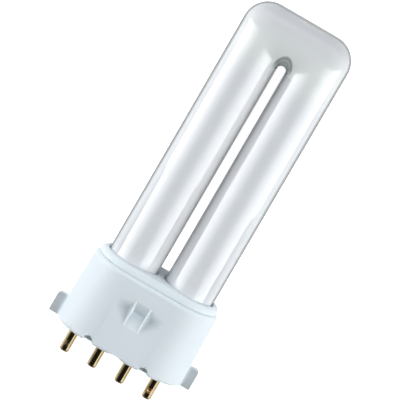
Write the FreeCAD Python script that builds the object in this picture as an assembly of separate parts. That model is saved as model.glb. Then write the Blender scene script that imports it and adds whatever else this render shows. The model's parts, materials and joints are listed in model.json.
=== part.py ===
import FreeCAD, Part
import math
import os

# A plug-in compact fluorescent lamp: two glass legs joined by a squared bend, cemented into a
# moulded cap with four hollow contact pins in line. Each piece is built upright, with X across
# the legs, the front towards -Y and Z running from the pins to the bend, zero at the face of
# the cap that seats on a lampholder. The whole lamp is then laid on its back.

os.makedirs("parts", exist_ok=True)

Vector = FreeCAD.Vector
ACROSS = Vector(1, 0, 0)
AWAY = Vector(0, 1, 0)  # from the lamp's front to its back
EDGE_TOLERANCE = 1e-4

# Discharge tube, in millimetres
LAMP_HEIGHT = 85.0  # seating face of the cap to the top of the bend
TUBE_DIAMETER = 12.0
LEG_GAP = 2.0  # clear space between the legs
BRIDGE_HEIGHT = 11.5  # glass above the gap
BEND_CORNER_RADIUS = 5.9
BEND_RIBS = 45
RIB_POINTS = 12  # on each half of a rib
GLASS_TOLERANCE = 0.005  # the bend's ribs are true circles to within this
SHOULDER_TOP = 13.0  # where a leg starts to narrow to its seal
SHOULDER_HEIGHT = 4.0
PRESS_THICKNESS = 2.8
PRESS_BOTTOM = 5.5
EXHAUST_DIAMETER = 2.4  # stub of the tube through which the lamp was pumped out
EXHAUST_LENGTH = 1.6

# Cap shell
SHELL_HEIGHT = 17.7
SHELL_END_DRAFT = 0.4  # how much further each end stands out at the base than at the top
SHELL_SIDE_DRAFT = 0.25
SHELL_WALL = 1.7
FLOOR_THICKNESS = 2.2
SHELL_TOP_ROUND = 0.9
SHELL_BASE_ROUND = 0.5
PANEL_HALF_WIDTH = 6.0  # flat panel on each long side, proud at its lower end
PANEL_PROUD = 0.1

# Key tabs at the two ends of the cap
TAB_REACH = 2.1  # beyond the end of the cap at its base
TAB_THICKNESS = 2.0
TAB_BOTTOM = 0.1
TAB_HEIGHT = 4.8
TAB_ROUND = 0.8

# Catch on each long side: a creased notch for the lampholder's spring, with a thin rib at each
# end of it and a tapering hollow beyond each rib
CATCH_BELOW_COLLAR = 1.7
CATCH_HEIGHT = 6.2
CATCH_CREASE_HEIGHT = 3.7  # above the lower edge of the catch
NOTCH_WIDTH = 3.3
NOTCH_DEPTH = 1.1  # below the panel
NOTCH_DRAFT = 0.15  # lean of the ribs' inner walls
RIB_WIDTH = 0.35
HOLLOW_LENGTH = 3.6  # from the rib to the hollow's outer end
HOLLOW_SLOPE_LENGTH = 1.0  # of the rib's outer wall, at the crease
HOLLOW_DEPTH = 0.9
HOLLOW_END_LOW = 0.5  # outer end of the hollow, below and above the crease
HOLLOW_END_HIGH = 1.6
PAD_DEPTH = 0.8  # thickening inside the wall behind the catch
PAD_MARGIN = 0.4

# Relief cuts along the lower edge of the cap
SCOOP_WIDTH = 3.0  # at the outer face
SCOOP_INNER_WIDTH = 1.7
SCOOP_DEPTH = 2.4
CHANNEL_WIDTH = 4.2
CHANNEL_HEIGHT = 0.5

# Collar that closes the cap around the legs
BEAD_END_INSET = 0.7  # from the shell's outline at its top, at the ends
BEAD_SIDE_INSET = 1.05  # and along the long sides
BEAD_HEIGHT = 1.8
BEAD_ROUND = 1.3
BEAD_GROOVE_ROUND = 0.3
COLLAR_PLATE = 2.5
COLLAR_END_WALL = 0.48  # between a leg and the cap's wall, at the ends of the collar
COLLAR_SIDE_WALL = 1.03  # and along its long sides
COLLAR_CLEARANCE = 0.1
LEG_CLEARANCE = 0.12
HOLE_CHAMFER = 0.3  # around each leg, at the top of the bead

# Basing cement
CEMENT_DEPTH = 3.4

# Contact pins and lead wires
PIN_PITCH = 7.0
PIN_DIAMETER = 2.2
PIN_LENGTH = 6.6  # below the seating face
PIN_SHANK_DIAMETER = 2.7  # where it is pressed through the floor
PIN_BORE = 1.0
PIN_TIP_ROUND = 0.55
PIN_HEAD_DIAMETER = 3.4
PIN_HEAD_HEIGHT = 0.5
PIN_HOLE_CLEARANCE = 0.02
CRIMP_FROM_TIP = 2.1
CRIMP_DIAMETER = 1.1
CRIMP_DEPTH = 0.35
WIRE_DIAMETER = 0.6
WIRE_SEAL_OFFSET = 2.9  # of each wire from the leg's axis where it leaves the seal
WIRE_END_FROM_TIP = 0.6
WIRE_BEND_RADIUS = 1.0
WIRE_RUN_SHARE = 0.25  # of the space above the pin's head that is straight at each end

# Sizes that follow from the ones above
TUBE_RADIUS = TUBE_DIAMETER / 2
LEG_X = (TUBE_DIAMETER + LEG_GAP) / 2
ARCH_RADIUS = LEG_GAP / 2
ARCH_Z = LAMP_HEIGHT - BRIDGE_HEIGHT - ARCH_RADIUS
BEND_HALF_WIDTH = LEG_X + TUBE_RADIUS
BEND_RISE = BRIDGE_HEIGHT + ARCH_RADIUS
COLLAR_BOTTOM = SHELL_HEIGHT - COLLAR_PLATE
COLLAR_TOP = SHELL_HEIGHT + BEAD_HEIGHT
AROUND_LEGS = LEG_CLEARANCE + COLLAR_CLEARANCE + SHELL_WALL
SHELL_TOP_LENGTH = 2 * (BEND_HALF_WIDTH + COLLAR_END_WALL + AROUND_LEGS)
SHELL_TOP_DEPTH = 2 * (TUBE_RADIUS + COLLAR_SIDE_WALL + AROUND_LEGS)
SHELL_BASE_LENGTH = SHELL_TOP_LENGTH + 2 * SHELL_END_DRAFT
SHELL_BASE_DEPTH = SHELL_TOP_DEPTH + 2 * SHELL_SIDE_DRAFT
PANEL_BOTTOM = SHELL_BASE_ROUND
PANEL_TOP = SHELL_HEIGHT - SHELL_TOP_ROUND
CATCH_TOP = COLLAR_BOTTOM - CATCH_BELOW_COLLAR
CATCH_BOTTOM = CATCH_TOP - CATCH_HEIGHT
CATCH_CREASE = CATCH_BOTTOM + CATCH_CREASE_HEIGHT
PIN_XS = [PIN_PITCH * (number - 1.5) for number in range(4)]


def stadium_wire(length, depth, z):
    """Closed outline with two straight sides and two round ends, level at height z."""
    radius = depth / 2
    straight = length / 2 - radius
    right_end = Part.Arc(
        Vector(straight, -radius, z), Vector(straight + radius, 0, z), Vector(straight, radius, z)
    )
    left_end = Part.Arc(
        Vector(-straight, radius, z), Vector(-straight - radius, 0, z), Vector(-straight, -radius, z)
    )
    back = Part.LineSegment(Vector(straight, radius, z), Vector(-straight, radius, z))
    front = Part.LineSegment(Vector(-straight, -radius, z), Vector(straight, -radius, z))
    return Part.Wire([right_end.toShape(), back.toShape(), left_end.toShape(), front.toShape()])


def stadium_block(length, depth, z_low, z_high):
    face = Part.Face(stadium_wire(length, depth, z_low))
    return face.extrude(Vector(0, 0, z_high - z_low))


def box_between(low, high):
    size = [high[axis] - low[axis] for axis in range(3)]
    return Part.makeBox(*size, Vector(*low))


def level_edges(shape, z):
    """Edges of a shape that lie wholly at height z."""
    found = []
    for edge in shape.Edges:
        box = edge.BoundBox
        if max(abs(box.ZMin - z), abs(box.ZMax - z)) < EDGE_TOLERANCE:
            found.append(edge)
    return found


def shell_size(z):
    """Length and depth of the drafted outside of the cap at height z."""
    share = z / SHELL_HEIGHT
    length = SHELL_BASE_LENGTH + (SHELL_TOP_LENGTH - SHELL_BASE_LENGTH) * share
    depth = SHELL_BASE_DEPTH + (SHELL_TOP_DEPTH - SHELL_BASE_DEPTH) * share
    return length, depth


def drafted_block(z_low, z_high, inset):
    """Block with the cap's own draft between two heights, its walls moved in by inset."""
    wires = []
    for z in (z_low, z_high):
        length, depth = shell_size(z)
        wires.append(stadium_wire(length - 2 * inset, depth - 2 * inset, z))
    return Part.makeLoft(wires, True, True)


def outer_reach(angle):
    """Distance from the arch's centre to the bend's squared outer profile."""
    across, up = math.cos(angle), math.sin(angle)
    corner_x = BEND_HALF_WIDTH - BEND_CORNER_RADIUS
    corner_z = BEND_RISE - BEND_CORNER_RADIUS
    if up * BEND_HALF_WIDTH <= corner_z * across:
        return BEND_HALF_WIDTH / across
    if across * BEND_RISE <= corner_x * up:
        return BEND_RISE / up
    along = across * corner_x + up * corner_z
    off = corner_x**2 + corner_z**2 - along**2
    return along + math.sqrt(BEND_CORNER_RADIUS**2 - off)


def half_oval(centre, direction, along, depth):
    """Half of an oval: it runs from one end of its first half-axis to the other, by way of +Y."""
    points = []
    for number in range(RIB_POINTS + 1):
        angle = math.pi * number / RIB_POINTS
        offset = direction * (along * math.cos(angle)) + AWAY * (depth * math.sin(angle))
        points.append(centre + offset)
    curve = Part.BSplineCurve()
    curve.interpolate(Points=points, InitialTangent=AWAY, FinalTangent=-AWAY)
    return curve


def bend_rib(angle):
    """Oval section of the bend on the half-plane through the arch's centre at this angle."""
    reach = outer_reach(min(angle, math.pi - angle))
    direction = Vector(math.cos(angle), 0, math.sin(angle))
    centre = Vector(0, 0, ARCH_Z) + direction * ((reach + ARCH_RADIUS) / 2)
    back = half_oval(centre, direction, (reach - ARCH_RADIUS) / 2, TUBE_RADIUS)
    front = back.copy()
    front.rotate(FreeCAD.Placement(centre, FreeCAD.Rotation(direction.cross(AWAY), 180), Vector(0, 0, 0)))
    return Part.Wire([back.toShape(), front.toShape()])


def glass_bend():
    """Squared bend, lofted through ribs that fan out from the arch above the gap."""
    ribs = [bend_rib(math.pi * number / BEND_RIBS) for number in range(BEND_RIBS + 1)]
    return Part.makeLoft(ribs, True, False)


def glass_leg(leg_x):
    """Leg with its lower end pressed flat to seal in the two wires."""
    base = Vector(leg_x, 0, PRESS_BOTTOM)
    leg = Part.makeCylinder(TUBE_RADIUS, ARCH_Z - PRESS_BOTTOM, base)
    half_press = PRESS_THICKNESS / 2
    below = PRESS_BOTTOM - TUBE_RADIUS
    outline = [
        (below, half_press),
        (SHOULDER_TOP - SHOULDER_HEIGHT, half_press),
        (SHOULDER_TOP, TUBE_RADIUS),
        (SHOULDER_TOP, TUBE_DIAMETER),
        (below, TUBE_DIAMETER),
    ]
    for flat in on_both_sides(side_prism(outline, BEND_HALF_WIDTH)):
        leg = leg.cut(flat)
    return leg


def exhaust_stub(leg_x):
    """Sealed-off stub of the tube through which the lamp was pumped out and filled."""
    radius = EXHAUST_DIAMETER / 2
    tip = Vector(leg_x, 0, PRESS_BOTTOM - EXHAUST_LENGTH + radius)
    return Part.makeCylinder(radius, EXHAUST_LENGTH, tip).fuse(Part.makeSphere(radius, tip))


def discharge_tube():
    """Sealed glass in one piece: the bend, both legs and the exhaust stub."""
    legs = [glass_leg(-LEG_X).fuse(exhaust_stub(-LEG_X)), glass_leg(LEG_X)]
    return glass_bend().fuse(legs, GLASS_TOLERANCE).removeSplitter()


def face_depth(z):
    """Distance from the lamp's middle plane to the drafted long side of the cap at height z."""
    return shell_size(z)[1] / 2


def panel_depth(z):
    """The same for the flat panel, proud at its lower end and flush at its upper end."""
    share = (z - PANEL_BOTTOM) / (PANEL_TOP - PANEL_BOTTOM)
    return face_depth(z) + PANEL_PROUD * (1 - share)


def side_prism(outline, half_width):
    """Prism across a long side of the cap, from (height, distance from middle plane) pairs."""
    points = [Vector(-half_width, distance, z) for z, distance in outline]
    return Part.Face(Part.makePolygon(points + points[:1])).extrude(Vector(2 * half_width, 0, 0))


def side_panel():
    root = panel_depth(PANEL_TOP) - SHELL_WALL / 2
    face = [(z, panel_depth(z)) for z in (PANEL_BOTTOM, PANEL_TOP)]
    return side_prism([(PANEL_BOTTOM, root)] + face + [(PANEL_TOP, root)], PANEL_HALF_WIDTH)


def below_panel(x, z, depth=0.0):
    return Vector(x, panel_depth(z) - depth, z)


def cutter(rim, facets):
    """Closed solid that cuts a recess: a rim on the panel, facets below it, open mouth outside."""
    mouth = [point + AWAY * SHELL_WALL for point in rim]
    outlines = facets + [mouth]
    for number, point in enumerate(rim):
        after = (number + 1) % len(rim)
        outlines.append([point, rim[after], mouth[after], mouth[number]])
    faces = [Part.Face(Part.makePolygon(points + points[:1])) for points in outlines]
    return Part.makeSolid(Part.makeShell(faces))


def catch_notch():
    """Notch for the holder's spring, creased across, between the two ribs."""
    half = NOTCH_WIDTH / 2
    low_left, low_right = below_panel(-half, CATCH_BOTTOM), below_panel(half, CATCH_BOTTOM)
    top_left, top_right = below_panel(-half, CATCH_TOP), below_panel(half, CATCH_TOP)
    deep_left = below_panel(NOTCH_DRAFT - half, CATCH_CREASE, NOTCH_DEPTH)
    deep_right = below_panel(half - NOTCH_DRAFT, CATCH_CREASE, NOTCH_DEPTH)
    facets = [
        [low_left, low_right, deep_right, deep_left],
        [deep_left, deep_right, top_right, top_left],
        [low_left, deep_left, top_left],
        [low_right, deep_right, top_right],
    ]
    return cutter([low_left, low_right, top_right, top_left], facets)


def catch_hollow(side):
    """Hollow beyond a rib, deepest beside the rib and tapering to its outer end."""
    rib = side * (NOTCH_WIDTH / 2 + RIB_WIDTH)
    end = rib + side * HOLLOW_LENGTH
    low, top = below_panel(rib, CATCH_BOTTOM), below_panel(rib, CATCH_TOP)
    end_low = below_panel(end, CATCH_CREASE - HOLLOW_END_LOW)
    end_top = below_panel(end, CATCH_CREASE + HOLLOW_END_HIGH)
    deep = below_panel(rib + side * HOLLOW_SLOPE_LENGTH, CATCH_CREASE, HOLLOW_DEPTH)
    rim = [low, end_low, end_top, top]
    facets = [[rim[number], rim[(number + 1) % len(rim)], deep] for number in range(len(rim))]
    return cutter(rim, facets)


def catch_pad():
    """Thickening inside the wall behind the catch."""
    outer = face_depth(CATCH_BOTTOM) - SHELL_WALL / 2
    inner = face_depth(CATCH_BOTTOM) - SHELL_WALL - PAD_DEPTH
    outline = [(CATCH_BOTTOM, outer), (CATCH_BOTTOM, inner), (CATCH_TOP, inner), (CATCH_TOP, outer)]
    return side_prism(outline, NOTCH_WIDTH / 2 + RIB_WIDTH + HOLLOW_LENGTH + PAD_MARGIN)


def key_tab():
    """Key tab at one end of the cap, rounded at its outer upper corner."""
    low = (SHELL_BASE_LENGTH / 2 - SHELL_WALL / 2, -TAB_THICKNESS / 2, TAB_BOTTOM)
    high = (SHELL_BASE_LENGTH / 2 + TAB_REACH, TAB_THICKNESS / 2, TAB_BOTTOM + TAB_HEIGHT)
    tab = box_between(low, high)
    outer = [edge for edge in level_edges(tab, high[2]) if edge.BoundBox.XMin > high[0] - EDGE_TOLERANCE]
    return tab.makeFillet(TAB_ROUND, outer)


def edge_scoop(x):
    """Arched relief that narrows inwards from the long side's lower edge."""
    inner, outer = SCOOP_INNER_WIDTH / 2, SCOOP_WIDTH / 2
    start = Vector(x, SHELL_BASE_DEPTH / 2 - SCOOP_DEPTH, 0)
    return Part.makeCone(inner, 2 * outer - inner, 2 * SCOOP_DEPTH, start, AWAY)


def base_channel():
    """Shallow arched channel across the seating face, between the two middle pins."""
    radius = (CHANNEL_WIDTH**2 / 4 + CHANNEL_HEIGHT**2) / (2 * CHANNEL_HEIGHT)
    start = Vector(0, -SHELL_BASE_DEPTH, CHANNEL_HEIGHT - radius)
    return Part.makeCylinder(radius, 2 * SHELL_BASE_DEPTH, start, AWAY)


def on_both_sides(shape):
    """A shape on the lamp's back and its copy half a turn round, on the front."""
    other = shape.copy()
    other.rotate(Vector(0, 0, 0), Vector(0, 0, 1), 180)
    return [shape, other]


def cap_shell():
    """Moulded cap: drafted walls, pin floor, catches, key tabs and relief cuts."""
    body = drafted_block(0, SHELL_HEIGHT, 0)
    body = body.makeFillet(SHELL_TOP_ROUND, level_edges(body, SHELL_HEIGHT))
    body = body.makeFillet(SHELL_BASE_ROUND, level_edges(body, 0))
    body = body.multiFuse(on_both_sides(side_panel()) + on_both_sides(key_tab()))
    cavity = drafted_block(FLOOR_THICKNESS, SHELL_HEIGHT + FLOOR_THICKNESS, SHELL_WALL)
    body = body.cut(cavity).multiFuse(on_both_sides(catch_pad()))
    removed = on_both_sides(catch_notch()) + [base_channel()]
    for side in (-1, 1):
        removed += on_both_sides(catch_hollow(side)) + on_both_sides(edge_scoop(side * PIN_PITCH))
    hole_radius = PIN_SHANK_DIAMETER / 2 + PIN_HOLE_CLEARANCE
    for x in PIN_XS:
        base = Vector(x, 0, -FLOOR_THICKNESS / 2)
        removed.append(Part.makeCylinder(hole_radius, 2 * FLOOR_THICKNESS, base))
    for tool in removed:
        body = body.cut(tool)
    return body.removeSplitter()


def tube_collar():
    """Collar that drops into the cap: a plate below, a rounded bead above, a hole for each leg."""
    plate = drafted_block(COLLAR_BOTTOM, SHELL_HEIGHT, SHELL_WALL + COLLAR_CLEARANCE)
    bead_length = SHELL_TOP_LENGTH - 2 * BEAD_END_INSET
    bead_depth = SHELL_TOP_DEPTH - 2 * BEAD_SIDE_INSET
    bead = stadium_block(bead_length, bead_depth, SHELL_HEIGHT, COLLAR_TOP)
    bead = bead.makeFillet(BEAD_ROUND, level_edges(bead, COLLAR_TOP))
    bead = bead.makeFillet(BEAD_GROOVE_ROUND, level_edges(bead, SHELL_HEIGHT))
    collar = plate.fuse(bead)
    radius = TUBE_RADIUS + LEG_CLEARANCE
    for x in (-LEG_X, LEG_X):
        below = Vector(x, 0, COLLAR_BOTTOM - COLLAR_PLATE)
        collar = collar.cut(Part.makeCylinder(radius, COLLAR_TOP - below.z, below))
        mouth = Vector(x, 0, COLLAR_TOP - HOLE_CHAMFER)
        flare = 2 * HOLE_CHAMFER
        collar = collar.cut(Part.makeCone(radius, radius + flare, flare, mouth))
    return collar.removeSplitter()


def basing_cement(glass, shell):
    """Cement under the collar, filling the cap's width around both legs."""
    block = drafted_block(COLLAR_BOTTOM - CEMENT_DEPTH, COLLAR_BOTTOM, SHELL_WALL)
    return block.cut(glass).cut(shell)


def contact_pin(x, crimp_side):
    """Hollow turned pin with a head inside the cap and a crimp near its tip."""
    bore, outside = PIN_BORE / 2, PIN_DIAMETER / 2
    shank, head = PIN_SHANK_DIAMETER / 2, PIN_HEAD_DIAMETER / 2
    head_top = FLOOR_THICKNESS + PIN_HEAD_HEIGHT
    lean = PIN_TIP_ROUND * (1 - math.sqrt(0.5))
    corners = [
        Vector(outside - PIN_TIP_ROUND, 0, -PIN_LENGTH),
        Vector(bore, 0, -PIN_LENGTH),
        Vector(bore, 0, head_top),
        Vector(head, 0, head_top),
        Vector(head, 0, FLOOR_THICKNESS),
        Vector(shank, 0, FLOOR_THICKNESS),
        Vector(shank, 0, 0),
        Vector(outside, 0, 0),
        Vector(outside, 0, PIN_TIP_ROUND - PIN_LENGTH),
    ]
    edges = [Part.LineSegment(*pair).toShape() for pair in zip(corners, corners[1:])]
    mid_round = Vector(outside - lean, 0, lean - PIN_LENGTH)
    edges.append(Part.Arc(corners[-1], mid_round, corners[0]).toShape())
    pin = Part.Face(Part.Wire(edges)).revolve(Vector(0, 0, 0), Vector(0, 0, 1), 360)
    ball_radius = (CRIMP_DIAMETER**2 / 4 + CRIMP_DEPTH**2) / (2 * CRIMP_DEPTH)
    ball_y = crimp_side * (outside - CRIMP_DEPTH + ball_radius)
    pin = pin.cut(Part.makeSphere(ball_radius, Vector(0, ball_y, CRIMP_FROM_TIP - PIN_LENGTH)))
    pin.translate(Vector(x, 0, 0))
    return pin


def rounded_path(points, radius):
    """Wire of straight runs through the points, joined by tangent arcs of one radius."""
    edges = []
    last = points[0]
    for before, corner, after in zip(points, points[1:], points[2:]):
        arriving = (corner - before).normalize()
        leaving = (after - corner).normalize()
        turn = arriving.getAngle(leaving)
        trim = radius * math.tan(turn / 2)
        start, end = corner - arriving * trim, corner + leaving * trim
        inward = (leaving - arriving).normalize()
        middle = corner + inward * (radius / math.cos(turn / 2) - radius)
        edges.append(Part.LineSegment(last, start).toShape())
        edges.append(Part.Arc(start, middle, end).toShape())
        last = end
    edges.append(Part.LineSegment(last, points[-1]).toShape())
    return Part.Wire(edges)


def lead_wire(pin_x):
    """Stiff wire from a leg's seal, through the pin's head and down its bore."""
    leg_x = math.copysign(LEG_X, pin_x)
    seal_x = leg_x + math.copysign(WIRE_SEAL_OFFSET, pin_x - leg_x)
    head_top = FLOOR_THICKNESS + PIN_HEAD_HEIGHT
    crossing = (PRESS_BOTTOM - head_top) * WIRE_RUN_SHARE
    points = [
        Vector(seal_x, 0, PRESS_BOTTOM),
        Vector(seal_x, 0, PRESS_BOTTOM - crossing),
        Vector(pin_x, 0, head_top + crossing),
        Vector(pin_x, 0, WIRE_END_FROM_TIP - PIN_LENGTH),
    ]
    path = rounded_path(points, WIRE_BEND_RADIUS)
    section = Part.Wire([Part.Circle(points[0], Vector(0, 0, -1), WIRE_DIAMETER / 2).toShape()])
    return path.makePipeShell([section], True, True)


def resting_tilt():
    """Angle of the lamp's axis to the floor when it lies on an end of its back panel and its bend."""
    tilts = []
    for z in (PANEL_BOTTOM, PANEL_TOP):
        depth = panel_depth(z)
        reach = LAMP_HEIGHT - BRIDGE_HEIGHT / 2 - z
        tilts.append(math.acos(TUBE_RADIUS / math.hypot(depth, reach)) - math.atan2(reach, depth))
    return math.degrees(max(tilts))


nodes = {"discharge_tube": discharge_tube(), "cap_shell": cap_shell(), "tube_collar": tube_collar()}
nodes["basing_cement"] = basing_cement(nodes["discharge_tube"], nodes["cap_shell"])
for number, pin_x in enumerate(PIN_XS, start=1):
    crimp_side = -1 if number in (1, len(PIN_XS)) else 1
    nodes[f"contact_pin_{number}"] = contact_pin(pin_x, crimp_side)
    nodes[f"lead_wire_{number}"] = lead_wire(pin_x)

for shape in nodes.values():
    shape.rotate(Vector(0, 0, 0), ACROSS, -90 - resting_tilt())
bounds = Part.Compound(list(nodes.values())).optimalBoundingBox(False, False)
to_origin = Vector(-bounds.Center.x, -bounds.Center.y, -bounds.ZMin)
for name, shape in nodes.items():
    shape.translate(to_origin)
    shape.exportStep(f"parts/{name}.step")
    print(name, shape.isValid(), len(shape.Solids), len(shape.Faces), round(shape.Volume, 2))
print("tilt", round(resting_tilt(), 3))
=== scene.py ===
import json
import math

import bmesh
import bpy
from mathutils import Matrix, Vector


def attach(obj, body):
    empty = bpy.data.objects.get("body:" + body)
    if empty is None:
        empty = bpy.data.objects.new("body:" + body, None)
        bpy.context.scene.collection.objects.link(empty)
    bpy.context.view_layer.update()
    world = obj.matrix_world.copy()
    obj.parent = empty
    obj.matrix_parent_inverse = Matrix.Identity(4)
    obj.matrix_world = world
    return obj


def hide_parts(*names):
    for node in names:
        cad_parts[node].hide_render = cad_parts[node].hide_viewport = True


# Setting out: a plug-in fluorescent lamp lying on its back. New pieces are modelled upright, with X
# across the legs, the front towards -Y and Z from the pins to the bend, and are then laid down.
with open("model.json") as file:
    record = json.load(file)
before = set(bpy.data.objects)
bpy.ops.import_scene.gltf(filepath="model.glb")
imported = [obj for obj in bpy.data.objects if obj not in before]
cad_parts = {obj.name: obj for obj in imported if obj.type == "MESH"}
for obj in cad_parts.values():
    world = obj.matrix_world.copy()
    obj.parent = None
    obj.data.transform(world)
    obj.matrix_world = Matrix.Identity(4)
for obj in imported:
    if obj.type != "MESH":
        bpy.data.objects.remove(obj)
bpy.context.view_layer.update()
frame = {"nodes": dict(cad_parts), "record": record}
bpy.ops.object.select_all(action="DESELECT")

mounts = {mount["name"]: mount for mount in frame["record"]["mounts"]}
ACROSS = Vector((1, 0, 0))
LAMP_AXIS = -Vector(mounts["seating_face"]["axis"]).normalized()
TO_FRONT = Vector(mounts["catch_front"]["axis"]).normalized()
seat = Vector(mounts["seating_face"]["pos_m"])
lamp_turn = Matrix((ACROSS, -TO_FRONT, LAMP_AXIS)).transposed().to_4x4()
lay_down = Matrix.Translation((0, seat.y, seat.z)) @ lamp_turn
stand_up = lay_down.inverted()

# Discharge tube: two glass legs and a squared bend in one sealed piece, coated white inside. The
# bend is spun about the gap's arch and pressed square, the legs are drawn down to flat seals, and
# the stub of the exhaust tube is fused under the left leg.
tube_points = [stand_up @ vertex.co for vertex in frame["nodes"]["discharge_tube"].data.vertices]
tube_low = Vector([min(point[axis] for point in tube_points) for axis in range(3)])
tube_high = Vector([max(point[axis] for point in tube_points) for axis in range(3)])
TUBE_RADIUS = (tube_high.y - tube_low.y) / 2
TUBE_HALF_WIDTH = (tube_high.x - tube_low.x) / 2
LEG_X = TUBE_HALF_WIDTH - TUBE_RADIUS
ARCH_RADIUS = LEG_X - TUBE_RADIUS
BRIDGE_HEIGHT = 0.0115
CORNER_RADIUS = 0.0059
ARCH_Z = tube_high.z - BRIDGE_HEIGHT - ARCH_RADIUS
BEND_RISE = tube_high.z - ARCH_Z
LEG_JOIN = 0.045
SHOULDER_TOP = 0.013
SHOULDER_BOTTOM = 0.009
PRESS_BOTTOM = 0.0055
PRESS_THICKNESS = 0.0028
PRESS_SHARE = PRESS_THICKNESS / 2 / TUBE_RADIUS
STUB_RADIUS = 0.0012
STUB_LENGTH = 0.0016
STUB_CENTRE = PRESS_BOTTOM - STUB_LENGTH + STUB_RADIUS
BEND_STEPS = 72
ROUND_STEPS = 96
SAME_PLACE = 0.000001
GLASS_CREASE = math.radians(40)


def outer_reach(angle):
    """Distance from the arch's centre to the bend's squared outer profile."""
    across, up = abs(math.cos(angle)), math.sin(angle)
    corner_x = TUBE_HALF_WIDTH - CORNER_RADIUS
    corner_z = BEND_RISE - CORNER_RADIUS
    if up * TUBE_HALF_WIDTH <= corner_z * across:
        return TUBE_HALF_WIDTH / across
    if across * BEND_RISE <= corner_x * up:
        return BEND_RISE / up
    along = across * corner_x + up * corner_z
    off = corner_x**2 + corner_z**2 - along**2
    return along + math.sqrt(CORNER_RADIUS**2 - off)


def unite(piece, addition):
    """Fuses a second closed mesh into a piece."""
    bpy.ops.object.select_all(action="DESELECT")
    piece.select_set(True)
    bpy.context.view_layer.objects.active = piece
    bpy.ops.object.modifier_add(type="BOOLEAN")
    union = piece.modifiers[-1]
    union.operation = "UNION"
    union.solver = "EXACT"
    union.object = addition
    bpy.ops.object.modifier_apply(modifier=union.name)
    bpy.data.objects.remove(addition)


bpy.ops.mesh.primitive_circle_add(
    vertices=ROUND_STEPS, radius=TUBE_RADIUS, location=(LEG_X, 0, ARCH_Z)
)
glass_tube = bpy.context.object
glass_tube.name = "glass_tube"
bpy.ops.object.transform_apply(location=True, rotation=True, scale=True)
bpy.ops.object.mode_set(mode="EDIT")
bpy.ops.mesh.select_all(action="SELECT")
bpy.ops.mesh.spin(steps=BEND_STEPS, angle=math.pi, center=(0, 0, ARCH_Z), axis=(0, 1, 0))
bpy.ops.object.mode_set(mode="OBJECT")
for vertex in glass_tube.data.vertices:
    rise = max(vertex.co.z - ARCH_Z, 0.0)
    spun = math.hypot(vertex.co.x, rise)
    angle = math.atan2(rise, vertex.co.x)
    share = (spun - ARCH_RADIUS) / (2 * TUBE_RADIUS)
    reach = ARCH_RADIUS + (outer_reach(angle) - ARCH_RADIUS) * share
    vertex.co.x = reach * math.cos(angle)
    vertex.co.z = ARCH_Z + reach * math.sin(angle)
bpy.ops.object.mode_set(mode="EDIT")
bpy.ops.mesh.select_all(action="DESELECT")
bpy.ops.mesh.select_mode(type="EDGE")
bpy.ops.mesh.select_non_manifold()
leg_levels = (
    (LEG_JOIN, 1.0),
    (SHOULDER_TOP, 1.0),
    (SHOULDER_BOTTOM, PRESS_SHARE),
    (PRESS_BOTTOM, PRESS_SHARE),
)
level, depth = ARCH_Z, 1.0
for height, share in leg_levels:
    bpy.ops.mesh.extrude_region_move(TRANSFORM_OT_translate={"value": (0, 0, height - level)})
    bpy.ops.transform.resize(value=(1, share / depth, 1))
    level, depth = height, share
bpy.ops.mesh.edge_face_add()
bpy.ops.mesh.select_all(action="SELECT")
bpy.ops.mesh.remove_doubles(threshold=SAME_PLACE)
bpy.ops.mesh.normals_make_consistent(inside=False)
bpy.ops.object.mode_set(mode="OBJECT")

bpy.ops.mesh.primitive_uv_sphere_add(
    segments=32, ring_count=16, radius=STUB_RADIUS, location=(-LEG_X, 0, STUB_CENTRE)
)
stub = bpy.context.object
bpy.ops.object.transform_apply(location=True, rotation=True, scale=True)
for vertex in stub.data.vertices:
    if vertex.co.z > STUB_CENTRE + SAME_PLACE:
        vertex.co.z += STUB_LENGTH
unite(glass_tube, stub)
bpy.ops.object.shade_smooth_by_angle(angle=GLASS_CREASE)
glass_tube.data.transform(lay_down)


def new_material(name, colour, roughness):
    """A material of plain colour and roughness, with its node tree and its Principled BSDF."""
    material = bpy.data.materials.new(name)
    material.use_nodes = True
    tree = material.node_tree
    body = tree.nodes["Principled BSDF"]
    body.inputs["Base Color"].default_value = (*colour, 1)
    body.inputs["Roughness"].default_value = roughness
    return material, tree, body


def lamp_place(tree):
    """Place on the upright lamp, in metres, from the Object coordinates of a laid-down piece."""
    place = tree.nodes.new("ShaderNodeTexCoord")
    upright = tree.nodes.new("ShaderNodeMapping")
    upright.inputs["Location"].default_value = stand_up.translation
    upright.inputs["Rotation"].default_value = stand_up.to_euler()
    tree.links.new(place.outputs["Object"], upright.inputs["Vector"])
    split = tree.nodes.new("ShaderNodeSeparateXYZ")
    tree.links.new(upright.outputs["Vector"], split.inputs["Vector"])
    return upright.outputs["Vector"], split.outputs


def calculate(tree, operation, *values):
    """A Math node fed by numbers or sockets."""
    node = tree.nodes.new("ShaderNodeMath")
    node.operation = operation
    for socket, value in zip(node.inputs, values):
        if isinstance(value, (int, float)):
            socket.default_value = value
        else:
            tree.links.new(value, socket)
    return node.outputs["Value"]


def hypotenuse(tree, first, second):
    """Square root of the sum of two squares."""
    first = calculate(tree, "MULTIPLY", first, first)
    second = calculate(tree, "MULTIPLY", second, second)
    return calculate(tree, "SQRT", calculate(tree, "ADD", first, second))


def carry(tree, value, start, end, low=0.0, high=1.0, curve="LINEAR"):
    """A Map Range node that carries start to low and end to high."""
    span = tree.nodes.new("ShaderNodeMapRange")
    span.interpolation_type = curve
    span.inputs["From Min"].default_value = start
    span.inputs["From Max"].default_value = end
    span.inputs["To Min"].default_value = low
    span.inputs["To Max"].default_value = high
    tree.links.new(value, span.inputs["Value"])
    return span.outputs["Result"]


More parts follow.
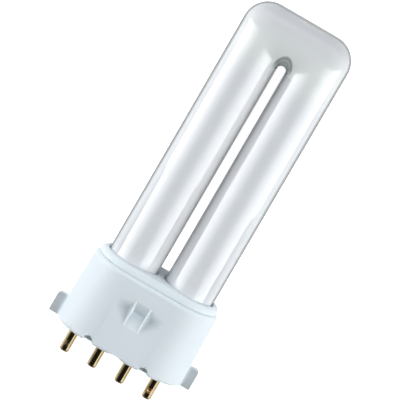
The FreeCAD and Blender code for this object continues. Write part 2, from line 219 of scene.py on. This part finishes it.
def colour_ramp(tree, value, stops):
    """A Color Ramp over a value, from (position, colour) stops."""
    ramp = tree.nodes.new("ShaderNodeValToRGB")
    elements = ramp.color_ramp.elements
    while len(elements) < len(stops):
        elements.new(0.5)
    for element, (position, colour) in zip(elements, stops):
        element.position = position
        element.color = (*colour, 1)
    tree.links.new(value, ramp.inputs["Fac"])
    return ramp.outputs["Color"]


def mix_colour(tree, share, first, second):
    """A Mix node from a first to a second colour. Share and colours are values or sockets."""
    mix = tree.nodes.new("ShaderNodeMix")
    mix.data_type = "RGBA"
    if isinstance(share, float):
        mix.inputs["Factor"].default_value = share
    else:
        tree.links.new(share, mix.inputs["Factor"])
    for socket, colour in ((mix.inputs["A"], first), (mix.inputs["B"], second)):
        if isinstance(colour, tuple):
            socket.default_value = (*colour, 1)
        else:
            tree.links.new(colour, socket)
    return mix.outputs["Result"]


fine_grain = bpy.data.node_groups.new("fine_grain", "ShaderNodeTree")
fine_grain.interface.new_socket("Place", in_out="INPUT", socket_type="NodeSocketVector")
fine_grain.interface.new_socket("Scale", in_out="INPUT", socket_type="NodeSocketFloat")
fine_grain.interface.new_socket("Detail", in_out="INPUT", socket_type="NodeSocketFloat")
fine_grain.interface.new_socket("Grain", in_out="OUTPUT", socket_type="NodeSocketFloat")
grain_in = fine_grain.nodes.new("NodeGroupInput")
grain_noise = fine_grain.nodes.new("ShaderNodeTexNoise")
grain_out = fine_grain.nodes.new("NodeGroupOutput")
fine_grain.links.new(grain_in.outputs["Place"], grain_noise.inputs["Vector"])
fine_grain.links.new(grain_in.outputs["Scale"], grain_noise.inputs["Scale"])
fine_grain.links.new(grain_in.outputs["Detail"], grain_noise.inputs["Detail"])
fine_grain.links.new(grain_noise.outputs["Fac"], grain_out.inputs["Grain"])


def add_grain(tree, place, scale, detail):
    """Places the grain group in a material, with its own scale and detail."""
    grain = tree.nodes.new("ShaderNodeGroup")
    grain.node_tree = fine_grain
    grain.inputs["Scale"].default_value = scale
    grain.inputs["Detail"].default_value = detail
    tree.links.new(place, grain.inputs["Place"])
    return grain.outputs["Grain"]


def dress(piece, material, node):
    """Gives a finished piece its material and puts it in for the CAD node it stands for."""
    piece.data.materials.clear()
    piece.data.materials.append(material)
    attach(piece, "root")
    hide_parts(node)


# The coating's colour is lighter just above the arch and darker at the top of the bend. Beside the
# gap the left leg gets painted light and the right leg painted shade. At the inside of the bend, where
# the glass is thick, dark green and lighter bands are painted as shade and reflection, and the tube's
# edges are painted dark by their facing angle, as painted shade.
GLASS_TONE = (0.80, 0.85, 0.885)
GLASS_ROUGHNESS = 0.42
GLASS_SPECULAR = 0.3
GLASS_COAT_ROUGHNESS = 0.03
GLASS_COAT_IOR = 1.6
POWDER_START = ARCH_Z - 0.004
POWDER_TONES = [
    (0.0, (0.83, 0.875, 0.915)),
    (0.3, (0.90, 0.955, 0.96)),
    (0.5, (0.93, 0.98, 0.98)),
    (0.75, (0.79, 0.83, 0.85)),
    (0.9, (0.61, 0.64, 0.68)),
]
GAP_SIDE_OUTER = 0.0042
GAP_SIDE_INNER = 0.0020
LEFT_GAP_PAINTED_LIGHT = (0.98, 0.99, 1.0)
RIGHT_GAP_PAINTED_SHADE = (0.65, 0.67, 0.70)
MOTTLE_TONES = [(0.3, (0.72, 0.77, 0.80)), (0.7, (0.86, 0.88, 0.93))]
MOTTLE_SHARE = 0.15
MOTTLE_SCALE = 260
MOTTLE_DETAIL = 5
THICK_HALF_WIDTH = 0.0023
THICK_HEIGHT = 0.0044
THICK_FADE = 0.0015
THICK_GLASS_PAINTED_SHADE_TONES = [
    (0.30, (0.30, 0.35, 0.34)),
    (0.46, (0.55, 0.62, 0.60)),
    (0.60, (0.36, 0.42, 0.41)),
    (0.72, (0.55, 0.61, 0.60)),
    (0.87, (0.28, 0.33, 0.33)),
    (1.00, (0.80, 0.85, 0.86)),
]
EDGE_PAINTED_SHADE = (0.08, 0.10, 0.10)
EDGE_START = 0.52
EDGE_FULL = 0.71
EDGE_LOSS_AT_GAP = 0.55

glass, tree, body = new_material("coated_tube_glass", GLASS_TONE, GLASS_ROUGHNESS)
body.inputs["Specular IOR Level"].default_value = GLASS_SPECULAR
body.inputs["Coat Weight"].default_value = 1.0
body.inputs["Coat Roughness"].default_value = GLASS_COAT_ROUGHNESS
body.inputs["Coat IOR"].default_value = GLASS_COAT_IOR
place, lamp = lamp_place(tree)
powder_height = carry(tree, lamp["Z"], POWDER_START, ARCH_Z + BEND_RISE)
powder = colour_ramp(tree, powder_height, POWDER_TONES)
aside = calculate(tree, "ABSOLUTE", lamp["X"])
beside_gap = carry(tree, aside, GAP_SIDE_OUTER, GAP_SIDE_INNER, curve="SMOOTHSTEP")
below_arch = calculate(tree, "LESS_THAN", lamp["Z"], ARCH_Z)
beside_gap = calculate(tree, "MULTIPLY", beside_gap, below_arch)
right_leg = calculate(tree, "GREATER_THAN", lamp["X"], 0.0)
# Beside the gap, painted light lightens the left leg and painted shade darkens the right leg.
gap_painted_light_and_shade = mix_colour(tree, right_leg, LEFT_GAP_PAINTED_LIGHT, RIGHT_GAP_PAINTED_SHADE)
powder = mix_colour(tree, beside_gap, powder, gap_painted_light_and_shade)
mottle = colour_ramp(tree, add_grain(tree, place, MOTTLE_SCALE, MOTTLE_DETAIL), MOTTLE_TONES)
powder = mix_colour(tree, MOTTLE_SHARE, powder, mottle)
# The dark and lighter bands around the arch are painted shade and painted reflection of the thick
# glass.
across_arch = calculate(tree, "DIVIDE", lamp["X"], THICK_HALF_WIDTH)
above_arch = calculate(tree, "SUBTRACT", lamp["Z"], ARCH_Z)
above_arch = calculate(tree, "MAXIMUM", above_arch, 0.0)
above_arch = calculate(tree, "DIVIDE", above_arch, THICK_HEIGHT)
from_arch = hypotenuse(tree, across_arch, above_arch)
thick = colour_ramp(tree, from_arch, THICK_GLASS_PAINTED_SHADE_TONES)
near_arch = calculate(tree, "LESS_THAN", from_arch, 1.0)
thick_fade = carry(tree, lamp["Z"], ARCH_Z, ARCH_Z + THICK_FADE)
near_arch = calculate(tree, "MULTIPLY", near_arch, thick_fade)
coated = mix_colour(tree, near_arch, powder, thick)
# The tube's edges are painted dark by their facing angle, as painted shade, less so beside the gap and
# the arch.
edge = tree.nodes.new("ShaderNodeLayerWeight")
edge.inputs["Blend"].default_value = 0.5
edge_share = carry(tree, edge.outputs["Facing"], EDGE_START, EDGE_FULL)
edge_loss = calculate(tree, "MAXIMUM", beside_gap, near_arch)
edge_loss = calculate(tree, "MULTIPLY", edge_loss, EDGE_LOSS_AT_GAP)
edge_share = calculate(tree, "MULTIPLY", calculate(tree, "SUBTRACT", 1.0, edge_loss), edge_share)
glass_colour = mix_colour(tree, edge_share, coated, EDGE_PAINTED_SHADE)
tree.links.new(glass_colour, body.inputs["Base Color"])
dress(glass_tube, glass, "discharge_tube")

# Cap and collar: two mouldings in satin white plastic, the collar dropped into the cap around the
# legs. Both are the solids with their curved faces smoothed and the catch's creases kept, and the
# catch's ribs get round crests. Painted shade darkens the catch's hollows and the end tabs, and a
# painted highlight lightens the ribs' crests.
PLASTIC_TONE = (0.805, 0.895, 0.95)
PLASTIC_ROUGHNESS = 0.42
GRAIN_SCALE = 2600
GRAIN_DETAIL = 3
GRAIN_STRENGTH = 0.25
GRAIN_HEIGHT = 0.00008
HOLLOW_PAINTED_SHADE = (0.56, 0.65, 0.71)
RIB_PAINTED_HIGHLIGHT = (0.87, 0.97, 1.0)
TAB_PAINTED_SHADE = (0.66, 0.72, 0.755)
TAB_START = 0.0159
TAB_FULL = 0.0162
PANEL_DEPTH = 0.00931
PANEL_DRAFT = -0.021
CATCH_MIDDLE = 0.0105
CATCH_HALF_HEIGHT = 0.0032
HOLLOW_X = 0.00395
HOLLOW_HALF_LENGTH = 0.0018
HOLLOW_DEPTH = 0.0009
RIB_X = 0.00184
RIB_HALF_WIDTH = 0.00024
RIB_SINK = 0.0001


def add_bump(tree, body, height, strength, distance):
    """A Bump node on the Principled BSDF's Normal."""
    bump = tree.nodes.new("ShaderNodeBump")
    bump.inputs["Strength"].default_value = strength
    bump.inputs["Distance"].default_value = distance
    tree.links.new(height, bump.inputs["Height"])
    tree.links.new(bump.outputs["Normal"], body.inputs["Normal"])


plastic, tree, body = new_material("moulded_cap_plastic", PLASTIC_TONE, PLASTIC_ROUGHNESS)
place, lamp = lamp_place(tree)
grain = add_grain(tree, place, GRAIN_SCALE, GRAIN_DETAIL)
add_bump(tree, body, grain, GRAIN_STRENGTH, GRAIN_HEIGHT)
aside = calculate(tree, "ABSOLUTE", lamp["X"])
on_tab = carry(tree, aside, TAB_START, TAB_FULL)
panel_depth = calculate(tree, "MULTIPLY_ADD", lamp["Z"], PANEL_DRAFT, PANEL_DEPTH)
below_panel = calculate(tree, "SUBTRACT", panel_depth, calculate(tree, "ABSOLUTE", lamp["Y"]))
beside_catch = calculate(tree, "COMPARE", lamp["Z"], CATCH_MIDDLE, CATCH_HALF_HEIGHT)
in_hollow = carry(tree, below_panel, 0.0, HOLLOW_DEPTH)
hollow_span = calculate(tree, "COMPARE", aside, HOLLOW_X, HOLLOW_HALF_LENGTH)
in_hollow = calculate(tree, "MULTIPLY", in_hollow, hollow_span)
in_hollow = calculate(tree, "MULTIPLY", in_hollow, beside_catch)
on_rib = calculate(tree, "COMPARE", aside, RIB_X, RIB_HALF_WIDTH)
on_crest = calculate(tree, "LESS_THAN", below_panel, RIB_SINK)
on_rib = calculate(tree, "MULTIPLY", on_rib, on_crest)
on_rib = calculate(tree, "MULTIPLY", on_rib, beside_catch)
# Painted shade darkens the catch's hollows.
plastic_colour = mix_colour(tree, in_hollow, PLASTIC_TONE, HOLLOW_PAINTED_SHADE)
# A painted highlight lightens the crests of the catch's ribs.
plastic_colour = mix_colour(tree, on_rib, plastic_colour, RIB_PAINTED_HIGHLIGHT)
# Painted shade darkens the end tabs.
plastic_colour = mix_colour(tree, on_tab, plastic_colour, TAB_PAINTED_SHADE)
tree.links.new(plastic_colour, body.inputs["Base Color"])

CREASE_X = 0.0024
CREASE_LOW = 0.0006
CREASE_HIGH = 0.0168
CREASE_FROM_AXIS = 0.007
LEAST_CREASE = math.radians(2)
CREST_RADIUS = 0.0002
CREST_SINK = 0.00012
CREST_X = 0.001825
CREST_LOW = (0.0075, 0.00916)
CREST_HIGH = (0.0134, 0.00903)
CREST_END_ROUND = 0.00014
MOULDED_CREASE = math.radians(28)
FLAT_FACE = math.radians(0.15)


def keep_creases(moulding):
    """Keeps the creases of the catch, which smoothing would blur."""
    form = bmesh.new()
    form.from_mesh(moulding.data)
    for crease in form.edges:
        middle = stand_up @ ((crease.verts[0].co + crease.verts[1].co) / 2)
        on_long_side = CREASE_LOW < middle.z < CREASE_HIGH and abs(middle.y) > CREASE_FROM_AXIS
        if on_long_side and abs(middle.x) < CREASE_X and crease.calc_face_angle(0.0) > LEAST_CREASE:
            crease.smooth = False
    form.to_mesh(moulding.data)
    form.free()


def rib_crest(across, facing):
    """A thin rod with rounded ends, laid along the crest of one of the catch's ribs."""
    (low, low_depth), (high, high_depth) = CREST_LOW, CREST_HIGH
    lean = math.atan2(low_depth - high_depth, high - low)
    depth = facing * ((low_depth + high_depth) / 2 - CREST_SINK)
    bpy.ops.mesh.primitive_cylinder_add(
        vertices=24,
        radius=CREST_RADIUS,
        depth=math.hypot(high - low, low_depth - high_depth),
        location=(across, depth, (low + high) / 2),
        rotation=(facing * lean, 0, 0),
    )
    crest = bpy.context.object
    bpy.ops.object.transform_apply(location=True, rotation=True, scale=True)
    bpy.ops.object.mode_set(mode="EDIT")
    bpy.ops.mesh.select_all(action="DESELECT")
    bpy.ops.mesh.select_mode(type="FACE")
    bpy.ops.object.mode_set(mode="OBJECT")
    for face in crest.data.polygons:
        face.select = len(face.vertices) > 4
    bpy.ops.object.mode_set(mode="EDIT")
    bpy.ops.mesh.bevel(offset=CREST_END_ROUND, segments=3, affect="EDGES")
    bpy.ops.object.mode_set(mode="OBJECT")
    crest.data.transform(lay_down)
    return crest


for name in ("cap_shell", "tube_collar"):
    moulding = frame["nodes"][name].copy()
    moulding.data = frame["nodes"][name].data.copy()
    moulding.name = f"moulded_{name}"
    bpy.context.scene.collection.objects.link(moulding)
    bpy.ops.object.select_all(action="DESELECT")
    moulding.select_set(True)
    bpy.context.view_layer.objects.active = moulding
    bpy.ops.object.mode_set(mode="EDIT")
    bpy.ops.mesh.select_all(action="SELECT")
    bpy.ops.mesh.remove_doubles(threshold=SAME_PLACE)
    bpy.ops.object.mode_set(mode="OBJECT")
    if name == "cap_shell":
        crests = [rib_crest(across, facing) for across in (-CREST_X, CREST_X) for facing in (-1, 1)]
        for crest in crests:
            unite(moulding, crest)
    bpy.ops.object.mode_set(mode="EDIT")
    bpy.ops.mesh.select_all(action="SELECT")
    bpy.ops.mesh.dissolve_limited(angle_limit=FLAT_FACE)
    bpy.ops.object.mode_set(mode="OBJECT")
    bpy.ops.object.shade_smooth_by_angle(angle=MOULDED_CREASE)
    keep_creases(moulding)
    bpy.ops.object.modifier_add(type="WEIGHTED_NORMAL")
    weighting = moulding.modifiers[-1]
    weighting.keep_sharp = True
    bpy.ops.object.modifier_apply(modifier=weighting.name)
    dress(moulding, plastic, name)

# Contact pins: four hollow turned brass pins, pressed through the cap's floor and crimped on the
# lead wires near their tips. The crimps' dimples are painted as shade, dark on the left pins and a
# coppery painted reflection on the right ones. The tips are darker and rougher, and the edges of the
# pins are painted dark by their facing angle, as painted shade.
BRASS_TONE = (0.82, 0.66, 0.38)
BRASS_SHEEN = (0.80, 0.62, 0.38)
DARKER_TIP_TONE = (0.42, 0.35, 0.24)
CRIMP_PAINTED_SHADE = (0.10, 0.08, 0.05)
CRIMP_PAINTED_REFLECTION = (0.50, 0.27, 0.13)
PIN_EDGE_PAINTED_SHADE = (0.30, 0.26, 0.18)
PIN_EDGE_PAINTED_SHADE_TINT = (0.40, 0.34, 0.25)
BRASS_ROUGHNESS = 0.03
WORN_ROUGHNESS = 0.4
PIN_PITCH = 0.007
PIN_TIP = -0.0066
TIP_START = PIN_TIP + 0.0007
TIP_FULL = PIN_TIP + 0.0003
CRIMP_Z = -0.0045
CRIMP_SQUASH = 0.75
CRIMP_OUTER = 0.00060
CRIMP_INNER = 0.00045
PIN_EDGE_START = 0.42
PIN_EDGE_FULL = 0.62
PIN_EDGE_SHARE = 0.85

brass, tree, body = new_material("pin_brass", BRASS_TONE, BRASS_ROUGHNESS)
body.inputs["Metallic"].default_value = 1.0
body.inputs["Specular Tint"].default_value = (*BRASS_SHEEN, 1)
place, lamp = lamp_place(tree)
from_pin = calculate(tree, "ADD", lamp["X"], 2 * PIN_PITCH)
from_pin = calculate(tree, "PINGPONG", from_pin, PIN_PITCH / 2)
from_pin = calculate(tree, "SUBTRACT", from_pin, PIN_PITCH / 2)
above_crimp = calculate(tree, "SUBTRACT", lamp["Z"], CRIMP_Z)
above_crimp = calculate(tree, "MULTIPLY", above_crimp, CRIMP_SQUASH)
in_crimp = carry(tree, hypotenuse(tree, from_pin, above_crimp), CRIMP_OUTER, CRIMP_INNER)
outer_pin = calculate(tree, "GREATER_THAN", calculate(tree, "ABSOLUTE", lamp["X"]), PIN_PITCH)
in_front = calculate(tree, "LESS_THAN", lamp["Y"], 0.0)
crimp_side = calculate(tree, "COMPARE", outer_pin, in_front, 0.5)
in_crimp = calculate(tree, "MULTIPLY", in_crimp, crimp_side)
at_tip = carry(tree, lamp["Z"], TIP_START, TIP_FULL)
right_pins = calculate(tree, "GREATER_THAN", lamp["X"], 0.0)
# The crimps' dimples are painted shade on the left pins and a coppery painted reflection on the right
# pins.
crimp_painted_shade_and_reflection = mix_colour(tree, right_pins, CRIMP_PAINTED_SHADE, CRIMP_PAINTED_REFLECTION)
brass_colour = mix_colour(tree, at_tip, BRASS_TONE, DARKER_TIP_TONE)
brass_colour = mix_colour(tree, in_crimp, brass_colour, crimp_painted_shade_and_reflection)
# The pins' edges are painted dark by their facing angle, in colour and tint, as painted shade.
pin_edge = tree.nodes.new("ShaderNodeLayerWeight")
pin_edge.inputs["Blend"].default_value = 0.5
at_edge = carry(tree, pin_edge.outputs["Facing"], PIN_EDGE_START, PIN_EDGE_FULL, 0.0, PIN_EDGE_SHARE)
brass_colour = mix_colour(tree, at_edge, brass_colour, PIN_EDGE_PAINTED_SHADE)
tree.links.new(brass_colour, body.inputs["Base Color"])
tree.links.new(mix_colour(tree, at_edge, BRASS_SHEEN, PIN_EDGE_PAINTED_SHADE_TINT), body.inputs["Specular Tint"])
worn = calculate(tree, "MAXIMUM", in_crimp, at_tip)
worn = calculate(tree, "MULTIPLY", worn, WORN_ROUGHNESS)
tree.links.new(calculate(tree, "MAXIMUM", worn, BRASS_ROUGHNESS), body.inputs["Roughness"])


def finish_node(name, material):
    """Gives a CAD node that is shown as it is its own material."""
    node = frame["nodes"][name]
    node.data.materials.clear()
    node.data.materials.append(material)


for number in range(1, 5):
    finish_node(f"contact_pin_{number}", brass)

# Cement and lead wires, both hidden in the cap: a grey basing cement around the ends of the legs,
# and plated wires from the glass seals through the pins.
CEMENT_TONE = (0.60, 0.58, 0.53)
CEMENT_ROUGHNESS = 0.95
CEMENT_TONES = [(0.35, (0.46, 0.44, 0.40)), (0.65, (0.70, 0.68, 0.63))]
GRIT_SCALE = 1400
GRIT_DETAIL = 6
GRIT_STRENGTH = 0.5
GRIT_HEIGHT = 0.0001
PLATING_TONE = (0.72, 0.70, 0.66)
PLATING_ROUGHNESS = 0.32

cement, tree, body = new_material("basing_cement_grey", CEMENT_TONE, CEMENT_ROUGHNESS)
place, lamp = lamp_place(tree)
grit = add_grain(tree, place, GRIT_SCALE, GRIT_DETAIL)
tree.links.new(colour_ramp(tree, grit, CEMENT_TONES), body.inputs["Base Color"])
add_bump(tree, body, grit, GRIT_STRENGTH, GRIT_HEIGHT)
finish_node("basing_cement", cement)

plating, tree, body = new_material("lead_wire_plating", PLATING_TONE, PLATING_ROUGHNESS)
body.inputs["Metallic"].default_value = 1.0
for number in range(1, 5):
    finish_node(f"lead_wire_{number}", plating)

# Floor: a pale sheet under the lamp. It glows for the camera and, more faintly, in reflections, so
# the ground is white and the lamp's shadow hardly shows on it.
FLOOR_TONE = (0.85, 0.85, 0.85)
FLOOR_SIZE = 3.0
FLOOR_DROP = 0.0001
SEEN_IN_GLASS = 0.35
SEEN_BY_CAMERA = 0.93

bpy.ops.mesh.primitive_plane_add(size=FLOOR_SIZE, location=(0, 0, -FLOOR_DROP))
floor = bpy.context.object
floor.name = "studio_floor"
floor_paint, tree, body = new_material("studio_floor_white", FLOOR_TONE, 1.0)
body.inputs["Specular IOR Level"].default_value = 0.0
body.inputs["Emission Color"].default_value = (1, 1, 1, 1)
ray = tree.nodes.new("ShaderNodeLightPath").outputs
in_glass = calculate(tree, "MAXIMUM", ray["Is Glossy Ray"], ray["Is Transmission Ray"])
in_glass = calculate(tree, "MULTIPLY", in_glass, SEEN_IN_GLASS)
in_view = calculate(tree, "MULTIPLY", ray["Is Camera Ray"], SEEN_BY_CAMERA)
tree.links.new(calculate(tree, "MAXIMUM", in_glass, in_view), body.inputs["Emission Strength"])
floor.data.materials.append(floor_paint)

# Camera: a long lens above the front of the lamp, a little towards its bend, and rolled so that the
# lamp stands slanted in the picture.
VIEW_RISE = math.radians(11.8)
VIEW_ROLL = math.radians(30.2)
VIEW_DISTANCE = 1.0
VIEW_WIDTH = 0.0879
AIM = Vector((-0.00107, 0, 0.0384))
SENSOR = 36.0

to_camera = math.cos(VIEW_RISE) * TO_FRONT + math.sin(VIEW_RISE) * LAMP_AXIS
axis_seen = (LAMP_AXIS - LAMP_AXIS.dot(to_camera) * to_camera).normalized()
right = math.sin(VIEW_ROLL) * axis_seen + math.cos(VIEW_ROLL) * ACROSS
up = math.cos(VIEW_ROLL) * axis_seen - math.sin(VIEW_ROLL) * ACROSS
camera_data = bpy.data.cameras.new("camera")
camera_data.sensor_width = SENSOR
camera_data.lens = SENSOR * VIEW_DISTANCE / VIEW_WIDTH
camera = bpy.data.objects.new("camera", camera_data)
camera_turn = Matrix((right, up, to_camera)).transposed().to_4x4()
camera.matrix_world = Matrix.Translation(lay_down @ AIM + to_camera * VIEW_DISTANCE) @ camera_turn
bpy.context.scene.collection.objects.link(camera)
bpy.context.scene.camera = camera

# Lights: a soft box at each side, which dims towards the front and draws the long highlights on the
# glass, a wide one above the bend, and two low strips for the pins. A brightness of 1 is white.
LAMP_MIDDLE = Vector((0, 0, 0.045))


def soft_box(name, angle, rise, reach, width, length, brightness, fade=0.0):
    """Area light facing the lamp, at this angle to its right and this rise towards its bend."""
    data = bpy.data.lights.new(name, "AREA")
    data.shape = "RECTANGLE"
    data.size = width
    data.size_y = length
    data.energy = brightness * math.pi * width * length
    if fade:
        data.use_nodes = True
        tree = data.node_tree
        spot = tree.nodes.new("ShaderNodeNewGeometry")
        split = tree.nodes.new("ShaderNodeSeparateXYZ")
        tree.links.new(spot.outputs["Parametric"], split.inputs["Vector"])
        dark, bright = (0.0, fade) if angle > 0 else (1.0, 1.0 - fade)
        dimming = carry(tree, split.outputs["X"], dark, bright, curve="SMOOTHSTEP")
        tree.links.new(dimming, tree.nodes["Emission"].inputs["Strength"])
    angle, rise = math.radians(angle), math.radians(rise)
    level_part = math.cos(angle) * TO_FRONT + math.sin(angle) * ACROSS
    towards = math.cos(rise) * level_part + math.sin(rise) * LAMP_AXIS
    side = LAMP_AXIS.cross(towards).normalized()
    light_turn = Matrix((side, towards.cross(side), towards)).transposed().to_4x4()
    light = bpy.data.objects.new(name, data)
    light.matrix_world = Matrix.Translation(lay_down @ LAMP_MIDDLE + towards * reach) @ light_turn
    bpy.context.scene.collection.objects.link(light)
    light.visible_camera = False


soft_box("right_box", angle=54, rise=-3, reach=0.5, width=0.93, length=0.24, brightness=4.1, fade=0.55)
soft_box("left_box", angle=-56, rise=-3, reach=0.5, width=0.93, length=0.24, brightness=5.3, fade=0.75)
soft_box("bend_box", angle=0, rise=60, reach=0.7, width=1.2, length=0.5, brightness=0.35)
soft_box("right_pin_box", angle=65, rise=-19, reach=0.53, width=0.25, length=0.05, brightness=0.9)
soft_box("left_pin_box", angle=-109, rise=-19, reach=0.53, width=0.158, length=0.05, brightness=0.8)

# Room: pale walls under a dark ceiling, darker past the pins than past the bend.
CEILING_START = 0.15
CEILING_FULL = 0.75
WALL_LEVEL = 0.8
CEILING_LEVEL = 0.03
PAST_PINS = 0.4
PAST_BEND = 1.5
PAST_TURN = 0.25

world = bpy.data.worlds.new("studio_world")
world.use_nodes = True
bpy.context.scene.world = world
tree = world.node_tree
background = tree.nodes["Background"]
background.inputs["Color"].default_value = (1, 1, 1, 1)
direction = tree.nodes.new("ShaderNodeTexCoord")
split = tree.nodes.new("ShaderNodeSeparateXYZ")
tree.links.new(direction.outputs["Generated"], split.inputs["Vector"])
height, along = split.outputs["Z"], split.outputs["Y"]
ceiling = carry(tree, height, CEILING_START, CEILING_FULL, WALL_LEVEL, CEILING_LEVEL, "SMOOTHSTEP")
ends = carry(tree, along, -PAST_TURN, PAST_TURN, PAST_PINS, PAST_BEND, "SMOOTHSTEP")
tree.links.new(calculate(tree, "MULTIPLY", ceiling, ends), background.inputs["Strength"])

bpy.context.scene.view_settings.view_transform = "Standard"
